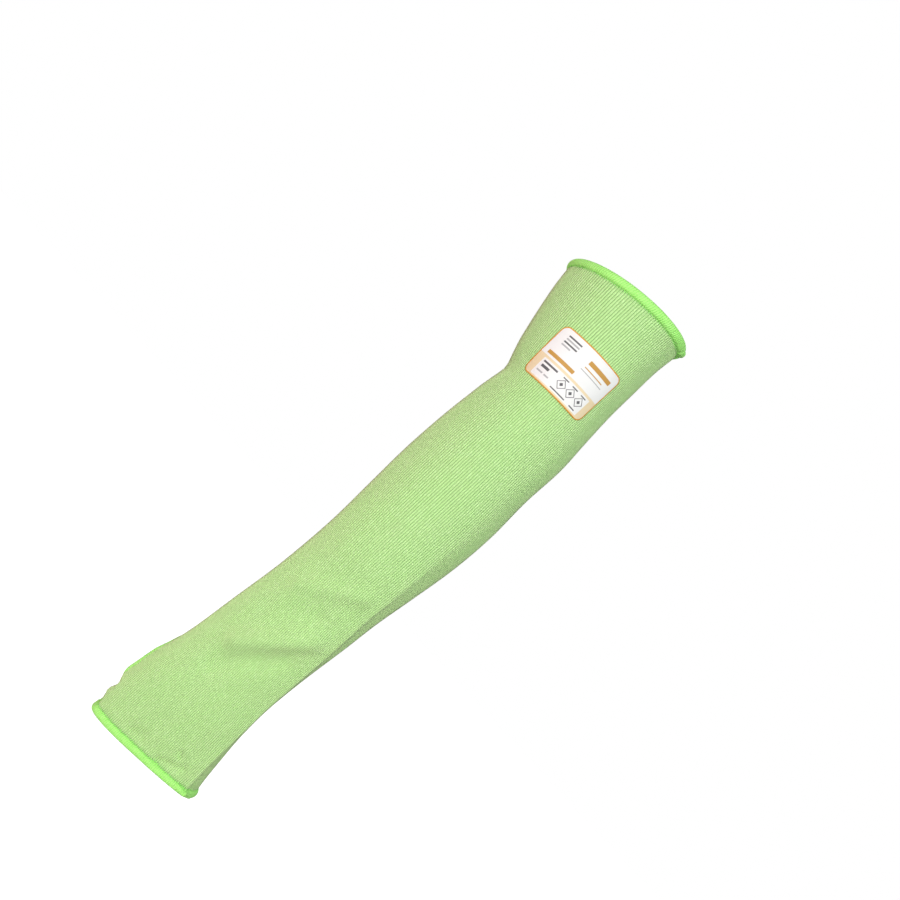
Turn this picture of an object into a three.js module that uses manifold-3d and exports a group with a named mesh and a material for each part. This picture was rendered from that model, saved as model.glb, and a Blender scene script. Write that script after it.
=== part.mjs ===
// A knitted cut resistant sleeve with a thumb hole, in the form that it has on a left arm, in millimetres.
// The origin is the middle of the upper opening. +Z runs up towards the shoulder, -X is the thumb side,
// and -Y is the outer side of the arm, where the label is.

import * as THREE from 'three';
import { mergeVertices } from 'three/addons/utils/BufferGeometryUtils.js';
import Module from 'manifold-3d';

// Driving sizes of the knitted tube
const sleeveLength = 457;
const upperArmWidth = 94;
const elbowWidth = 79;
const forearmWidth = 86;
const wristWidth = 75;
const palmWidth = 93;
const elbowReach = 12; // how far the elbow stands out to +X from the line between the two openings
const knitThickness = 1.5;

// Soft folds of the tube
const foldBreadth = 6;
const foldRise = 2;

// Rolled and overlocked edges
const upperHemHeight = 6;
const upperHemThickness = 4.4;
const handHemHeight = 5.6;
const handHemThickness = 3.8;
const hemGap = 0.3; // between a hem and the cut edge of the knit

// Thumb hole, measured to the middle of its own edge band
const thumbHoleLength = 49;
const thumbHoleOpening = 23;
const thumbHoleFromHandEnd = 50; // from the middle of the hole to the end of the sleeve
const thumbHoleAngle = -119; // degrees round from the outer side
const thumbHemWidth = 4;
const thumbHemThickness = 3;

// Printed label
const labelWidth = 55.6;
const labelHeight = 39.8;
const labelCornerRadius = 5;
const labelThickness = 0.4;
const labelGap = 0.42;
const labelFromTop = 65.5; // from the middle of the label to the upper end of the sleeve
const labelLineX = 7.2; // the label is centred on this line, which runs straight down the outer side

// Facets
const columns = 52;
const rows = 36;
const hemSides = 8;
const thumbHemSteps = 40;
const labelSteps = 36;
const labelRings = 6;

// Sections down the sleeve. at is a share of sleeveLength from the upper end, width and depth are shares
// of the size named in size, and shift is a share of elbowReach. square is 2 for an ellipse and more for
// a squarer section. ridge is how far the edge along the little finger's side stands out, as a share of
// the section, and turn is where it runs, in degrees. lean and nod tilt the knitted courses along X and Y.
const sections = [
  { at: 0.0, size: upperArmWidth, width: 1.02, depth: 0.97, shift: 0.02, square: 2.0 },
  { at: 0.045, size: upperArmWidth, width: 0.985, depth: 0.95, shift: -0.02, square: 2.0 },
  { at: 0.09, size: upperArmWidth, width: 0.945, depth: 0.94, shift: 0.17, square: 2.0 },
  { at: 0.142, size: upperArmWidth, width: 0.895, depth: 0.93, shift: 0.52, square: 2.0 },
  { at: 0.195, size: elbowWidth, width: 1.0, depth: 1.06, shift: 0.9, square: 2.0 },
  { at: 0.248, size: elbowWidth, width: 1.035, depth: 1.02, shift: 0.87, square: 2.0 },
  { at: 0.316, size: forearmWidth, width: 0.965, depth: 0.9, shift: 0.77, square: 2.0 },
  { at: 0.392, size: forearmWidth, width: 1.0, depth: 0.88, shift: 0.8, square: 2.1 },
  { at: 0.468, size: forearmWidth, width: 0.965, depth: 0.84, shift: 0.77, square: 2.1 },
  { at: 0.544, size: forearmWidth, width: 0.905, depth: 0.78, shift: 0.61, square: 2.2 },
  { at: 0.605, size: wristWidth, width: 0.995, depth: 0.76, shift: 0.44, square: 2.3 },
  { at: 0.666, size: wristWidth, width: 0.985, depth: 0.69, shift: 0.24, square: 2.3 },
  { at: 0.742, size: wristWidth, width: 0.99, depth: 0.62, shift: -0.1, square: 2.3 },
  { at: 0.818, size: wristWidth, width: 1.015, depth: 0.57, shift: -0.38, square: 2.4 },
  { at: 0.878, size: palmWidth, width: 0.885, depth: 0.44, shift: -0.57, square: 2.5 },
  { at: 0.927, size: palmWidth, width: 0.95, depth: 0.4, shift: -0.6, square: 2.6 },
  { at: 0.97, size: palmWidth, width: 0.995, depth: 0.37, shift: -0.5, square: 2.6 },
  { at: 1.0, size: palmWidth, width: 0.955, depth: 0.35, shift: -0.22, square: 2.6 },
];
const courses = [
  { at: 0.0, ridge: 0.0, turn: 42, lean: 0.135, nod: -0.06 },
  { at: 0.09, ridge: 0.0, turn: 42, lean: 0.07, nod: -0.01 },
  { at: 0.195, ridge: 0.0, turn: 42, lean: 0.05, nod: 0.0 },
  { at: 0.316, ridge: 0.0, turn: 42, lean: 0.0, nod: 0.0 },
  { at: 0.468, ridge: 0.01, turn: 42, lean: 0.0, nod: 0.0 },
  { at: 0.56, ridge: 0.045, turn: 43, lean: -0.02, nod: 0.0 },
  { at: 0.666, ridge: 0.06, turn: 49, lean: -0.03, nod: 0.0 },
  { at: 0.742, ridge: 0.055, turn: 58, lean: -0.03, nod: 0.0 },
  { at: 0.85, ridge: 0.06, turn: 66, lean: 0.02, nod: -0.01 },
  { at: 0.927, ridge: 0.07, turn: 60, lean: 0.06, nod: -0.04 },
  { at: 1.0, ridge: 0.07, turn: 54, lean: 0.08, nod: -0.06 },
];
const ridgeOuterSpread = 0.5; // radians over which the ridge fades out towards the label's side
const ridgeInnerSpread = 0.24;

// Folds and dents, each a soft line between two places. The angles are in degrees round from the outer
// side, breadth is a share of foldBreadth and rise a share of foldRise.
const folds = [
  { at: 0.582, angle: 24, toAt: 0.645, toAngle: -30, breadth: 0.85, rise: 0.6 },
  { at: 0.655, angle: 8, toAt: 0.704, toAngle: -28, breadth: 1.3, rise: -0.35 },
  { at: 0.69, angle: 30, toAt: 0.8, toAngle: -26, breadth: 1.4, rise: 1.25 },
  { at: 0.765, angle: 24, toAt: 0.85, toAngle: -20, breadth: 1.4, rise: -0.4 },
  { at: 0.194, angle: -125, toAt: 0.194, toAngle: -62, breadth: 1.0, rise: -1.1 },
  { at: 0.88, angle: -86, toAt: 0.925, toAngle: -90, breadth: 1.4, rise: 0.75 },
  { at: 0.948, angle: -115, toAt: 0.948, toAngle: -72, breadth: 0.8, rise: -1.1 },
  { at: 0.985, angle: -14, toAt: 0.985, toAngle: -10, breadth: 0.8, rise: -0.4 },
  { at: 0.986, angle: 22, toAt: 0.97, toAngle: 36, breadth: 0.6, rise: -0.45 },
];

const turnOf = THREE.MathUtils.degToRad;

// A smooth value between the rows of a table, at a share of the length
function valueAt(table, name, at) {
  let k = 0;
  while (k < table.length - 2 && at > table[k + 1].at) k += 1;
  const slopeOf = (i) => {
    const before = table[Math.max(i - 1, 0)];
    const after = table[Math.min(i + 1, table.length - 1)];
    return (after[name] - before[name]) / (after.at - before.at);
  };
  const span = table[k + 1].at - table[k].at;
  const t = (at - table[k].at) / span;
  const blend = t * t * (3 - 2 * t);
  const bend = t * (1 - t) * ((1 - t) * slopeOf(k) - t * slopeOf(k + 1)) * span;
  return table[k][name] * (1 - blend) + table[k + 1][name] * blend + bend;
}

const stations = sections.map((row) => ({
  at: row.at,
  halfWidth: (row.width * row.size) / 2,
  halfDepth: (row.depth * row.size) / 2,
  centre: row.shift * elbowReach,
  square: row.square,
}));

// How far the folds lift the cloth at a place
function foldLift(at, angle) {
  const radius = valueAt(stations, 'halfWidth', at);
  let lift = 0;
  for (const fold of folds) {
    const turned = Math.atan2(Math.sin(angle - turnOf(fold.angle)), Math.cos(angle - turnOf(fold.angle)));
    const line = [turnOf(fold.toAngle - fold.angle) * radius, (fold.toAt - fold.at) * sleeveLength];
    const place = [turned * radius, (at - fold.at) * sleeveLength];
    const along = (place[0] * line[0] + place[1] * line[1]) / (line[0] ** 2 + line[1] ** 2);
    const near = THREE.MathUtils.clamp(along, 0, 1);
    const away = Math.hypot(place[0] - near * line[0], place[1] - near * line[1]);
    lift += fold.rise * foldRise * Math.exp(-((away / (fold.breadth * foldBreadth)) ** 2));
  }
  return lift;
}

// The outer face of the cloth, before the folds
function plainPlace(at, angle) {
  const square = valueAt(stations, 'square', at);
  const round = (Math.abs(Math.sin(angle)) ** square + Math.abs(Math.cos(angle)) ** square) ** (-1 / square);
  const turned = angle - turnOf(valueAt(courses, 'turn', at));
  const away = Math.atan2(Math.sin(turned), Math.cos(turned));
  const spread = away < 0 ? ridgeOuterSpread : ridgeInnerSpread;
  const size = round * (1 + valueAt(courses, 'ridge', at) * Math.exp(-Math.abs(away) / spread));
  const x = valueAt(stations, 'halfWidth', at) * size * Math.sin(angle);
  const y = -valueAt(stations, 'halfDepth', at) * size * Math.cos(angle);
  const tilt = valueAt(courses, 'lean', at) * x + valueAt(courses, 'nod', at) * y;
  return new THREE.Vector3(valueAt(stations, 'centre', at) + x, y, tilt - at * sleeveLength);
}

// The cloth's outward direction
function outwardAt(at, angle) {
  const step = 0.01;
  const round = plainPlace(at, angle + step).sub(plainPlace(at, angle - step));
  const down = plainPlace(at + step, angle).sub(plainPlace(at - step, angle));
  return down.cross(round).normalize();
}

// A place on the cloth, moved outwards by out
function clothPlace(at, angle, out) {
  return plainPlace(at, angle).addScaledVector(outwardAt(at, angle), foldLift(at, angle) + out);
}

// The angle that lies a distance round the section from another angle
function angleAlong(at, start, distance) {
  const steps = 24;
  let angle = start;
  for (let i = 0; i < steps; i += 1) {
    const turn = 0.001;
    const pace = plainPlace(at, angle + turn).distanceTo(plainPlace(at, angle)) / turn;
    angle += distance / steps / pace;
  }
  return angle;
}

// A closed surface of m places round and n places along the section, which closes both ways
function ringSurface(m, n, placeAt) {
  const places = [];
  const faces = [];
  for (let i = 0; i < m; i += 1) {
    for (let j = 0; j < n; j += 1) {
      const place = placeAt(i, j);
      places.push(place.x, place.y, place.z);
      const a = i * n + j;
      const b = ((i + 1) % m) * n + j;
      const c = ((i + 1) % m) * n + ((j + 1) % n);
      const d = i * n + ((j + 1) % n);
      faces.push(a, c, b, a, d, c);
    }
  }
  return meshOf(places, faces);
}

// A closed surface of loops of m places, between a first and a last place
function cappedSurface(m, loops, first, last) {
  const places = [first.x, first.y, first.z];
  const faces = [];
  for (const loop of loops) {
    for (const place of loop) places.push(place.x, place.y, place.z);
  }
  places.push(last.x, last.y, last.z);
  const end = 1 + loops.length * m;
  for (let i = 0; i < m; i += 1) {
    const next = (i + 1) % m;
    faces.push(0, 1 + i, 1 + next);
    faces.push(end, end - m + next, end - m + i);
    for (let k = 0; k < loops.length - 1; k += 1) {
      const a = 1 + k * m + i;
      const b = 1 + k * m + next;
      faces.push(a, a + m, b, b, a + m, b + m);
    }
  }
  return meshOf(places, faces);
}

function meshOf(places, faces) {
  const geometry = new THREE.BufferGeometry();
  geometry.setAttribute('position', new THREE.Float32BufferAttribute(places, 3));
  geometry.setIndex(faces);
  return geometry;
}

const wasm = await Module();
wasm.setup();

function solidOf(geometry) {
  const merged = mergeVertices(geometry);
  const vertProperties = new Float32Array(merged.getAttribute('position').array);
  const triVerts = new Uint32Array(merged.index.array);
  return new wasm.Manifold(new wasm.Mesh({ numProp: 3, vertProperties, triVerts }));
}

function geometryOf(solid) {
  const mesh = solid.getMesh();
  return meshOf(Array.from(mesh.vertProperties), Array.from(mesh.triVerts));
}

// The knitted tube: an outer and an inner face between the two hems
function tubeGeometry() {
  const from = (upperHemHeight + hemGap) / sleeveLength;
  const to = 1 - (handHemHeight + hemGap) / sleeveLength;
  const closerRows = 0.4; // rows lie closer together towards the hand, where the cloth folds
  return ringSurface(columns, 2 * (rows + 1), (i, j) => {
    const inner = j > rows;
    const share = (inner ? 2 * rows + 1 - j : j) / rows;
    const at = from + (to - from) * (share + closerRows * share * (1 - share));
    const angle = turnOf(valueAt(courses, 'turn', at)) + (i / columns) * Math.PI * 2;
    return clothPlace(at, angle, inner ? -knitThickness : 0);
  });
}

// A rolled hem: an oval section that follows the cloth's edge, a little proud of it
function hemGeometry(middleAt, height, thickness) {
  return ringSurface(columns, hemSides, (i, j) => {
    const turn = (j / hemSides) * Math.PI * 2;
    const at = middleAt + ((height / 2) * Math.sin(turn)) / sleeveLength;
    const angle = turnOf(valueAt(courses, 'turn', at)) + (i / columns) * Math.PI * 2;
    const proud = (thickness - knitThickness) / 4;
    return clothPlace(at, angle, proud - knitThickness / 2 + (thickness / 2) * Math.cos(turn));
  });
}

const thumbHoleAt = 1 - thumbHoleFromHandEnd / sleeveLength;

// A place round the thumb hole: widen moves its edge away from the middle of the hole, share takes a part
// of the way from the middle to that edge, and out moves it off the cloth
function thumbHolePlace(turn, widen, share, out) {
  const along = (thumbHoleLength / 2 + widen) * share * Math.cos(turn);
  const across = (thumbHoleOpening / 2 + widen) * share * Math.sin(turn);
  const at = thumbHoleAt + along / sleeveLength;
  return clothPlace(at, angleAlong(at, turnOf(thumbHoleAngle), across), out);
}

function thumbHoleCutter() {
  const widen = thumbHemWidth / 2 + hemGap;
  const reach = 4;
  const shares = [0.35, 0.7, 1];
  const loopAt = (share, out) => Array.from({ length: thumbHemSteps }, (_, i) => (
    thumbHolePlace((i / thumbHemSteps) * Math.PI * 2, widen, share, out)
  ));
  const over = shares.map((share) => loopAt(share, reach));
  const under = shares.map((share) => loopAt(share, -reach)).reverse();
  const middleOf = (out) => clothPlace(thumbHoleAt, turnOf(thumbHoleAngle), out);
  return cappedSurface(thumbHemSteps, [...over, ...under], middleOf(reach), middleOf(-reach));
}

function thumbHemGeometry() {
  return ringSurface(thumbHemSteps, hemSides, (i, j) => {
    const turn = (j / hemSides) * Math.PI * 2;
    const widen = (thumbHemWidth / 2) * Math.cos(turn);
    const out = (thumbHemThickness / 2) * Math.sin(turn) - knitThickness / 2;
    return thumbHolePlace((-i / thumbHemSteps) * Math.PI * 2, widen, 1, out);
  });
}

// A place on the label, across and down from its middle
function labelPlace(across, down, out) {
  const at = (labelFromTop + down) / sleeveLength;
  const reach = (labelLineX - valueAt(stations, 'centre', at)) / valueAt(stations, 'halfWidth', at);
  return clothPlace(at, angleAlong(at, Math.asin(reach), across), out);
}

function labelGeometry() {
  const outline = new THREE.Shape();
  const [x, y, r] = [labelWidth / 2, labelHeight / 2, labelCornerRadius];
  outline.absarc(x - r, y - r, r, 0, Math.PI / 2);
  outline.absarc(r - x, y - r, r, Math.PI / 2, Math.PI);
  outline.absarc(r - x, r - y, r, Math.PI, Math.PI * 1.5);
  outline.absarc(x - r, r - y, r, Math.PI * 1.5, Math.PI * 2);
  outline.closePath();
  const edge = outline.getSpacedPoints(labelSteps).slice(0, labelSteps);
  const loopAt = (share, out) => edge.map((p) => labelPlace(p.x * share, -p.y * share, out));
  const loops = [];
  for (let k = 1; k <= labelRings; k += 1) loops.push(loopAt(k / labelRings, labelGap + labelThickness));
  for (let k = labelRings; k >= 1; k -= 1) loops.push(loopAt(k / labelRings, labelGap));
  const middleOf = (out) => labelPlace(0, 0, out);
  return cappedSurface(labelSteps, loops, middleOf(labelGap + labelThickness), middleOf(labelGap));
}

const knit = new THREE.MeshStandardMaterial({ color: 0xbae698, roughness: 0.95, metalness: 0 });
const overlock = new THREE.MeshStandardMaterial({ color: 0xa4ed81, roughness: 0.85, metalness: 0 });
const print = new THREE.MeshStandardMaterial({ color: 0xf6f0e4, roughness: 0.6, metalness: 0 });

const sleeve = new THREE.Group();

function addPiece(name, geometry, material) {
  const piece = new THREE.Mesh(geometry, material);
  piece.name = name;
  sleeve.add(piece);
}

const openTube = solidOf(tubeGeometry()).subtract(solidOf(thumbHoleCutter()));
const upperHemAt = upperHemHeight / 2 / sleeveLength;
const handHemAt = 1 - handHemHeight / 2 / sleeveLength;
addPiece('knit_sleeve', geometryOf(openTube), knit);
addPiece('upper_arm_hem', hemGeometry(upperHemAt, upperHemHeight, upperHemThickness), overlock);
addPiece('hand_hem', hemGeometry(handHemAt, handHemHeight, handHemThickness), overlock);
addPiece('thumb_hole_hem', thumbHemGeometry(), overlock);
addPiece('label', labelGeometry(), print);

export default sleeve;
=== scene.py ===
# Cut resistant sleeve: a knitted tube with overlocked edges, a thumb hole and a printed label,
# in the form that it has on a left arm. Metres, +Z towards the shoulder, -Y the outer side.
import bpy
import math
import numpy as np
from mathutils import Matrix, Vector


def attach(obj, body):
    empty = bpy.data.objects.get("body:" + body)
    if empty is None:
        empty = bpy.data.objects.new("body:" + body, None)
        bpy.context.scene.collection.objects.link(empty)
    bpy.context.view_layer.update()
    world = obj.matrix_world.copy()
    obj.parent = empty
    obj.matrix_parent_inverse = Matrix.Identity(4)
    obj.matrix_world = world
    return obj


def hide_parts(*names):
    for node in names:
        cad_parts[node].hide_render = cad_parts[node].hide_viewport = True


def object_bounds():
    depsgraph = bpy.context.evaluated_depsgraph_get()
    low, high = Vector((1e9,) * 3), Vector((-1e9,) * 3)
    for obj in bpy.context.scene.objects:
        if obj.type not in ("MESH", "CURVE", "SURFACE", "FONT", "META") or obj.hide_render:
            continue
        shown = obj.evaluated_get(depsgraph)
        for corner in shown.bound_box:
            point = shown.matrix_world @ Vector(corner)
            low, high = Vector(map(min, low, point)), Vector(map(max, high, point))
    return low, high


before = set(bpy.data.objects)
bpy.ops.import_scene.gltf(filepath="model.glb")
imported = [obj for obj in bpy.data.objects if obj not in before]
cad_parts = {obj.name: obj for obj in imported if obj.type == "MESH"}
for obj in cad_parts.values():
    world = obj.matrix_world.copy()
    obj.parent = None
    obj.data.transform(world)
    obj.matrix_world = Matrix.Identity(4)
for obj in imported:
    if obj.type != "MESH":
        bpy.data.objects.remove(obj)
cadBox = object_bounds()
mm = 0.001

# the knitted tube, with the same driving sizes as the solid under it
sleeve = {
    "length": 457 * mm,
    "upperArmWidth": 94 * mm,
    "elbowWidth": 79 * mm,
    "forearmWidth": 86 * mm,
    "wristWidth": 75 * mm,
    "palmWidth": 93 * mm,
    "elbowReach": 12 * mm,
    "wall": 1.5 * mm,
    "foldBreadth": 6 * mm,
    "foldRise": 2 * mm,
    "ridgeOuterSpread": 0.5,  # radians
    "ridgeInnerSpread": 0.14,
    "ridgeSoftness": 0.015,
    "frontLineX": 7.2 * mm,  # the wales run straight down the outer side along this line
    "wales": 152,
    "courseLength": 1.25 * mm,
    "columnsPerWale": 4,
    "outerRows": 118,
    "innerRows": 56,
    "closerRows": 0.4,
    "ribDepth": 0.22 * mm,
    "unevenness": 0.08 * mm,
    "closePitch": 1.30 * mm,
    "openPitch": 1.80 * mm,
    "leastStretch": 0.8,
    # how far the painted shade under each hem reaches down the cloth
    "hemShadowReach": 0.8 * mm,
    "flatGirth": 210 * mm,  # the tube lies 105 mm wide when it is flat and slack
}
upperHem = {
    "height": 6 * mm,
    "thickness": 4.4 * mm,
    "stitches": 168,
    "overlapShare": 0.20,  # of the way round from the front line
    "overlapTilt": 1.4 * mm,
}
handHem = {
    "height": 5.6 * mm,
    "thickness": 3.8 * mm,
    "stitches": 150,
    "overlapShare": 0.135,
    "overlapTilt": 1.3 * mm,
}
thumbHole = {
    "length": 49 * mm,
    "opening": 23 * mm,
    "fromHandEnd": 50 * mm,
    "angle": -113,
    "hemWidth": 4 * mm,
    "hemThickness": 3 * mm,
    "cutShare": 0.1,  # of the hem's width, by which the cut edge lies inside the hem
    "stitches": 76,
}
label = {
    "width": 55.6 * mm,
    "height": 39.8 * mm,
    "cornerRadius": 5 * mm,
    "fromTop": 65.5 * mm,
    "turn": 1.6,  # degrees
    "lift": 0.22 * mm,
    "thickness": 0.3 * mm,
    "relief": 0.04 * mm,
}

# sections down the sleeve: at, size, width, depth, shift, square
sectionNames = ("at", "size", "width", "depth", "shift", "square")
sectionRows = [
    (0.000, "upperArmWidth", 1.035, 0.97, 0.04, 2.0),
    (0.045, "upperArmWidth", 0.982, 0.95, 0.06, 2.0),
    (0.090, "upperArmWidth", 0.938, 0.94, 0.25, 2.0),
    (0.142, "upperArmWidth", 0.879, 0.93, 0.53, 2.0),
    (0.195, "elbowWidth", 0.980, 1.06, 0.91, 2.0),
    (0.248, "elbowWidth", 1.030, 1.04, 0.93, 2.0),
    (0.316, "forearmWidth", 0.966, 0.94, 0.81, 2.1),
    (0.392, "forearmWidth", 0.996, 0.93, 0.83, 2.1),
    (0.468, "forearmWidth", 0.968, 0.90, 0.80, 2.1),
    (0.544, "forearmWidth", 0.905, 0.83, 0.65, 2.1),
    (0.605, "wristWidth", 0.998, 0.79, 0.46, 2.1),
    (0.666, "wristWidth", 0.990, 0.71, 0.28, 2.1),
    (0.742, "wristWidth", 0.997, 0.63, -0.04, 2.1),
    (0.818, "wristWidth", 1.025, 0.58, -0.30, 2.2),
    (0.878, "palmWidth", 0.895, 0.46, -0.49, 2.3),
    (0.927, "palmWidth", 0.957, 0.41, -0.52, 2.4),
    (0.970, "palmWidth", 0.990, 0.37, -0.43, 2.5),
    (1.000, "palmWidth", 0.990, 0.35, -0.22, 2.6),
]
# how the courses lie, and the edge along the little finger's side: at, ridge, turn, lean, nod
courseNames = ("at", "ridge", "turn", "lean", "nod")
courseRows = [
    (0.000, 0.000, 41, 0.130, -0.05),
    (0.090, 0.000, 41, 0.070, -0.01),
    (0.195, 0.000, 41, 0.050, 0.00),
    (0.316, 0.005, 41, 0.000, 0.00),
    (0.468, 0.030, 41, 0.000, 0.00),
    (0.560, 0.120, 41, -0.020, 0.00),
    (0.666, 0.150, 47, -0.030, 0.00),
    (0.742, 0.130, 54, -0.030, 0.00),
    (0.850, 0.120, 57, 0.020, -0.01),
    (0.927, 0.130, 50, 0.055, -0.05),
    (1.000, 0.120, 44, 0.090, -0.10),
]
# soft folds and dents from one place to another: at, angle, toAt, toAngle, breadth, rise
foldRows = [
    (0.582, 24, 0.645, -30, 0.85, 1.40),
    (0.655, 8, 0.704, -28, 1.20, -1.00),
    (0.684, 26, 0.766, -20, 1.20, 2.60),
    (0.738, 24, 0.820, -16, 1.20, -1.30),
    (0.194, -125, 0.194, -62, 1.10, -0.55),
    (0.880, -86, 0.918, -90, 1.40, 0.75),
    (0.950, -115, 0.950, -72, 0.75, -1.30),
    (0.981, -95, 0.981, -72, 0.60, -2.40),
    (0.978, -16, 0.974, -8, 0.70, -1.00),
    (0.984, 14, 0.968, 34, 0.45, -1.30),
    (0.950, 24, 0.956, 27, 0.30, -1.20),
]


def tableOf(names, rows):
    return {name: np.array([row[k] for row in rows], float) for k, name in enumerate(names)}


sized = [(at, sleeve[size], *rest) for at, size, *rest in sectionRows]
sections = tableOf(sectionNames, sized)
sections["halfWidth"] = sections["width"] * sections["size"] / 2
sections["halfDepth"] = sections["depth"] * sections["size"] / 2
sections["centre"] = sections["shift"] * sleeve["elbowReach"]
courses = tableOf(courseNames, courseRows)


# a smooth value between the rows of a table
def valueAt(table, name, at):
    x, y = table["at"], table[name]
    last = len(x) - 1
    slope = np.array([
        (y[min(i + 1, last)] - y[max(i - 1, 0)]) / (x[min(i + 1, last)] - x[max(i - 1, 0)])
        for i in range(last + 1)
    ])
    at = np.asarray(at, float)
    k = np.clip(np.searchsorted(x, at, side="left") - 1, 0, last - 1)
    span = x[k + 1] - x[k]
    t = (at - x[k]) / span
    blend = t * t * (3 - 2 * t)
    bend = t * (1 - t) * ((1 - t) * slope[k] - t * slope[k + 1]) * span
    return y[k] * (1 - blend) + y[k + 1] * blend + bend


def turned(angle):
    return np.arctan2(np.sin(angle), np.cos(angle))


def foldLift(at, angle):
    radius = valueAt(sections, "halfWidth", at)
    lift = 0
    for fromAt, fromAngle, toAt, toAngle, breadth, rise in foldRows:
        lineX = math.radians(toAngle - fromAngle) * radius
        lineY = (toAt - fromAt) * sleeve["length"]
        placeX = turned(angle - math.radians(fromAngle)) * radius
        placeY = (at - fromAt) * sleeve["length"]
        near = np.clip((placeX * lineX + placeY * lineY) / (lineX ** 2 + lineY ** 2), 0, 1)
        away = np.hypot(placeX - near * lineX, placeY - near * lineY)
        lift = lift + rise * sleeve["foldRise"] * np.exp(-((away / (breadth * sleeve["foldBreadth"])) ** 2))
    return lift


# the outer face before its folds, at a share of the length and an angle round from the outer side
def plainPlace(at, angle):
    at, angle = np.broadcast_arrays(at, angle)
    square = valueAt(sections, "square", at)
    rounding = (np.abs(np.sin(angle)) ** square + np.abs(np.cos(angle)) ** square) ** (-1 / square)
    away = turned(angle - np.radians(valueAt(courses, "turn", at)))
    spread = np.where(away < 0, sleeve["ridgeOuterSpread"], sleeve["ridgeInnerSpread"])
    softened = np.hypot(away, sleeve["ridgeSoftness"]) - sleeve["ridgeSoftness"]
    size = rounding * (1 + valueAt(courses, "ridge", at) * np.exp(-softened / spread))
    x = valueAt(sections, "halfWidth", at) * size * np.sin(angle)
    y = -valueAt(sections, "halfDepth", at) * size * np.cos(angle)
    tilt = valueAt(courses, "lean", at) * x + valueAt(courses, "nod", at) * y
    return np.stack([valueAt(sections, "centre", at) + x, y, tilt - at * sleeve["length"]], -1)


def outwardAt(at, angle):
    step = 0.01
    around = plainPlace(at, angle + step) - plainPlace(at, angle - step)
    down = plainPlace(at + step, angle) - plainPlace(at - step, angle)
    out = np.cross(down, around)
    return out / np.linalg.norm(out, axis=-1, keepdims=True)


# a place on the cloth with its folds, or a distance out from it
def clothPlace(at, angle, out):
    away = np.asarray(foldLift(at, angle) + out)
    return plainPlace(at, angle) + outwardAt(at, angle) * away[..., None]


# the angle at which the front line crosses a row
def frontAngle(at):
    across = sleeve["frontLineX"] - valueAt(sections, "centre", at)
    return np.arcsin(across / valueAt(sections, "halfWidth", at))


# the angles at shares of the way round, measured along the cloth from the front line
def angleRound(at, share, samples=720):
    fine = frontAngle(at)[:, None] + np.linspace(0, 2 * math.pi, samples + 1)[None, :]
    line = plainPlace(at[:, None], fine)
    run = np.cumsum(np.linalg.norm(np.diff(line, axis=1), axis=-1), axis=1)
    run = np.concatenate([np.zeros((len(at), 1)), run], axis=1)
    return np.stack([np.interp(share * r[-1], r, f) for r, f in zip(run, fine)]), run[:, -1]


# the angle that lies a distance round the cloth from another angle
def angleAlong(at, start, distance, steps=24):
    at, start, distance = np.broadcast_arrays(at, start, distance)
    angle = np.array(start, float)
    turn = 0.001
    for _ in range(steps):
        pace = np.linalg.norm(plainPlace(at, angle + turn) - plainPlace(at, angle), axis=-1) / turn
        angle = angle + distance / steps / pace
    return angle


# a mesh from places, faces of any size and one UV pair for each corner
def makePiece(name, places, faces, corners=None):
    mesh = bpy.data.meshes.new(name)
    mesh.from_pydata(np.asarray(places).tolist(), [], faces)
    if corners is not None:
        layer = mesh.uv_layers.new(name="cloth")
        layer.data.foreach_set("uv", np.asarray(corners, np.float32).ravel())
    mesh.validate()
    mesh.polygons.foreach_set("use_smooth", [True] * len(mesh.polygons))
    piece = bpy.data.objects.new(name, mesh)
    bpy.context.scene.collection.objects.link(piece)
    return piece


# faces and UV corners of a grid of m by n places, which closes round either way if asked
def ringGrid(m, n, uvAt, closesM=True, closesN=True, first=0):
    faces, corners = [], []
    for i in range(m if closesM else m - 1):
        for j in range(n if closesN else n - 1):
            square = [(i, j), (i, j + 1), (i + 1, j + 1), (i + 1, j)]
            faces.append([first + (a % m) * n + b % n for a, b in square])
            corners += [uvAt(a, b) for a, b in square]
    return faces, corners


def applied(piece):
    graph = bpy.context.evaluated_depsgraph_get()
    mesh = bpy.data.meshes.new_from_object(piece.evaluated_get(graph))
    old = piece.data
    piece.modifiers.clear()
    piece.data = mesh
    bpy.data.meshes.remove(old)
    return piece


# node helpers: settings are the node's own, inputs are sockets or plain values by name or number
def addNode(tree, kind, inputs=None, **settings):
    node = tree.nodes.new(kind)
    for key, value in settings.items():
        setattr(node, key, value)
    for key, value in (inputs or {}).items():
        socket = node.inputs[key]
        if isinstance(value, bpy.types.NodeSocket):
            tree.links.new(value, socket)
        else:
            socket.default_value = value
    return node


def maths(tree, operation, *values):
    return addNode(tree, "ShaderNodeMath", dict(enumerate(values)), operation=operation).outputs[0]


def newTree(name, kind, inputs, outputs):
    tree = bpy.data.node_groups.new(name, kind)
    for title, socketType, default in inputs:
        socket = tree.interface.new_socket(title, in_out="INPUT", socket_type=socketType)
        if default is not None:
            socket.default_value = default
    for title, socketType in outputs:
        tree.interface.new_socket(title, in_out="OUTPUT", socket_type=socketType)
    return tree, tree.nodes.new("NodeGroupInput"), tree.nodes.new("NodeGroupOutput")


# runs a Geometry Nodes tree on a piece, with inputs by name, and keeps its mesh
def grow(piece, tree, values):
    modifier = piece.modifiers.new(tree.name, "NODES")
    modifier.node_group = tree
    for item in tree.interface.items_tree:
        if item.item_type == "SOCKET" and item.in_out == "INPUT" and item.name in values:
            modifier[item.identifier] = values[item.name]
    return applied(piece)


# camera and light first: the view of the photograph, turned so that the sleeve runs corner to corner
view = {
    "distance": 645 * mm,
    "middleX": -10.9 * mm,
    "middleZ": -158.2 * mm,
    "roll": 47.09,  # degrees
    "halfFrame": 312.75 * mm,  # half the picture's width at the sleeve's middle
}


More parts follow.
